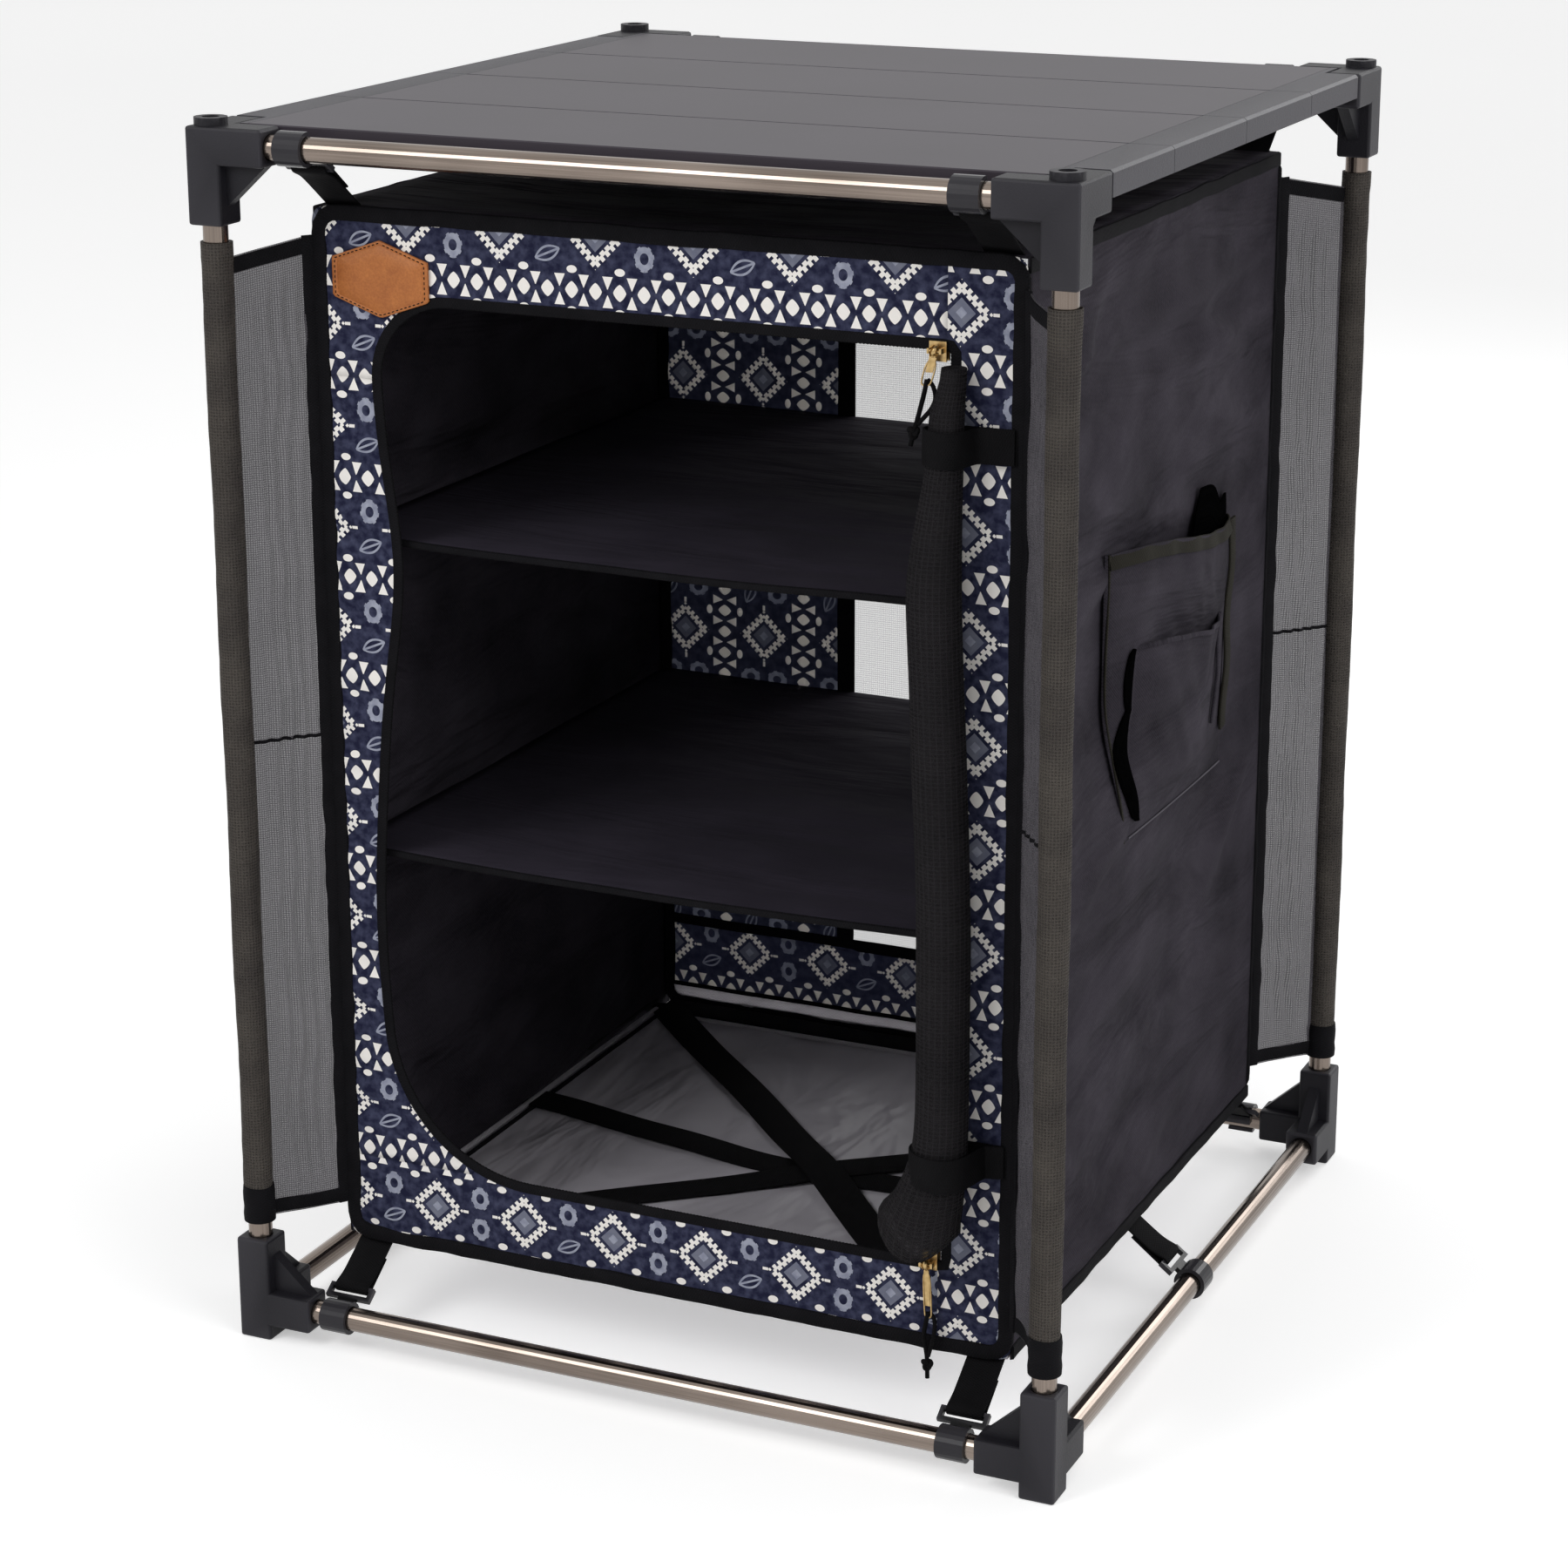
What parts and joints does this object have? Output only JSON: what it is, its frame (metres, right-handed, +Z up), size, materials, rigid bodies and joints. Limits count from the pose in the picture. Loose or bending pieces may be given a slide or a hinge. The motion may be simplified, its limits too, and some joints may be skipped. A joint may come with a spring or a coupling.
{
  "type": "folding storage rack",
  "caption": "Folding camp storage rack with a tube frame, roll-up slatted table top and a hanging fabric cabinet with shelves, a rolled zip door and mesh wings.",
  "frame": {"origin": "on the floor, under the middle of the rack", "axes": "+Z up, the door faces -Y, +X to the right of someone who faces it"},
  "size_m": [0.5858, 0.6038, 0.8194],
  "materials": {
    "tube": "bronze anodised, polished",
    "connector": "moulded, fine matt grain",
    "clip": "moulded, glossy",
    "slat": "matt grey coating",
    "side_fabric": "plain weave polyester",
    "print_fabric": "printed polyester",
    "floor_fabric": "coated, half gloss",
    "net": "open mesh",
    "zip_metal": "worn satin"
  },
  "bodies": {
    "rack": {"foot_connector_front_left": "connector", "top_connector_front_left": "connector", "upright_front_left": "tube", "wing_front_left": "net", "clip_bottom_front_left": "clip", "clip_top_front_left": "clip", "foot_connector_front_right": "connector", "top_connector_front_right": "connector", "upright_front_right": "tube", "wing_front_right": "net", "clip_bottom_front_right": "clip", "clip_top_front_right": "clip", "foot_connector_rear_right": "connector", "top_connector_rear_right": "connector", "upright_rear_right": "tube", "wing_rear_right": "net", "clip_bottom_rear_right": "clip", "clip_top_rear_right": "clip", "foot_connector_rear_left": "connector", "top_connector_rear_left": "connector", "upright_rear_left": "tube", "wing_rear_left": "net", "clip_bottom_rear_left": "clip", "clip_top_rear_left": "clip", "bottom_rail_front": "tube", "top_rail_front": "tube", "bottom_rail_rear": "tube", "top_rail_rear": "tube", "bottom_rail_left": "tube", "top_rail_left": "tube", "bottom_rail_right": "tube", "top_rail_right": "tube", "clip_bottom_left": "clip", "clip_bottom_right": "clip", "cabinet_front_border": "print_fabric", "cabinet_back": "print_fabric", "cabinet_left_side": "side_fabric", "cabinet_right_side": "side_fabric", "cabinet_top": "side_fabric", "cabinet_floor": "floor_fabric", "shelf_lower": "side_fabric", "shelf_upper": "side_fabric", "side_pocket": "side_fabric", "rolled_door": "net"},
    "slat_1": {"table_slat_1": "slat", "slat_cap_1_left": "connector", "slat_cap_1_right": "connector"},
    "slat_2": {"table_slat_2": "slat", "slat_cap_2_left": "connector", "slat_cap_2_right": "connector"},
    "slat_3": {"table_slat_3": "slat", "slat_cap_3_left": "connector", "slat_cap_3_right": "connector"},
    "slat_4": {"table_slat_4": "slat", "slat_cap_4_left": "connector", "slat_cap_4_right": "connector"},
    "slider_top": {"zip_slider_top": "zip_metal"},
    "pull_top": {"zip_pull_top": "zip_metal"},
    "slider_bottom": {"zip_slider_bottom": "zip_metal"},
    "pull_bottom": {"zip_pull_bottom": "zip_metal"}
  },
  "joints": [
    {"name": "table_lift", "type": "slide", "parent": "rack", "child": "slat_1", "axis": [0, 0, 1], "range_m": [0, 0.12]},
    {"name": "slat_fold_2", "type": "hinge", "parent": "slat_1", "child": "slat_2", "pos_m": [0, -0.1383, 0.8144], "axis": [1, 0, 0], "range_deg": [0, 85]},
    {"name": "slat_fold_3", "type": "hinge", "parent": "slat_2", "child": "slat_3", "pos_m": [0, 0, 0.8144], "axis": [1, 0, 0], "range_deg": [0, 85]},
    {"name": "slat_fold_4", "type": "hinge", "parent": "slat_3", "child": "slat_4", "pos_m": [0, 0.1383, 0.8144], "axis": [1, 0, 0], "range_deg": [0, 85]},
    {"name": "zip_top_slide", "type": "slide", "parent": "rack", "child": "slider_top", "axis": [-1, 0, 0], "range_m": [0, 0.325]},
    {"name": "zip_pull_top_swing", "type": "hinge", "parent": "slider_top", "child": "pull_top", "pos_m": [0.185, -0.2486, 0.7025], "axis": [-1, 0, 0], "range_deg": [-3, 175]},
    {"name": "zip_bottom_slide", "type": "slide", "parent": "rack", "child": "slider_bottom", "axis": [-1, 0, 0], "range_m": [0, 0.28]},
    {"name": "zip_pull_bottom_swing", "type": "hinge", "parent": "slider_bottom", "child": "pull_bottom", "pos_m": [0.185, -0.2486, 0.1195], "axis": [-1, 0, 0], "range_deg": [-3, 95]}
  ]
}
